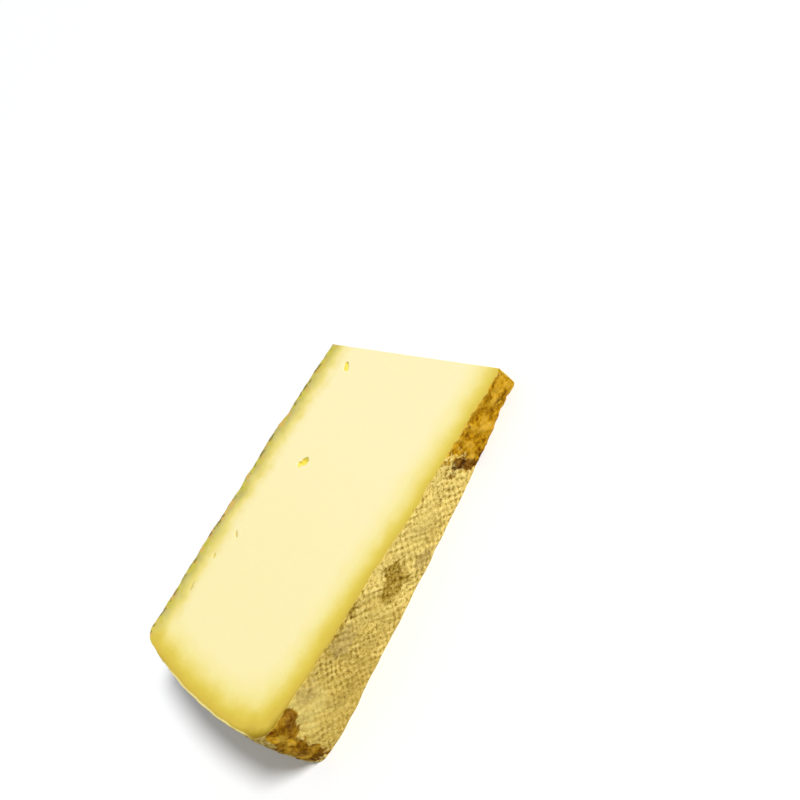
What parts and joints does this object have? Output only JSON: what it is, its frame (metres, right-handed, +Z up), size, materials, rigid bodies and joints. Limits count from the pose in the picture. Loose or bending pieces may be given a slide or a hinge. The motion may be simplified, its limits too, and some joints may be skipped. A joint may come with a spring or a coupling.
{
  "type": "alpine cheese wedge",
  "caption": "Wedge of hard alpine cheese, a narrow sector of a large wheel lying on a cut face, with a skewed tip cut and an uneven browned rind on three sides.",
  "frame": {"origin": "middle of the underside of the bounding box, on the plane of the lower cut face that the wedge lies on", "axes": "+X from the rim to the tip along the lower cut face, -Y out of the flat side of the wheel that faces the front, +Z up"},
  "size_m": [0.1844, 0.1002, 0.0396],
  "materials": {
    "cheese": "pale yellow smooth cut paste, deeper yellow towards the rind; straw to brown cloth-printed rind, matte"
  },
  "bodies": {
    "root": {"cheese_wedge": "cheese"}
  },
  "joints": []
}
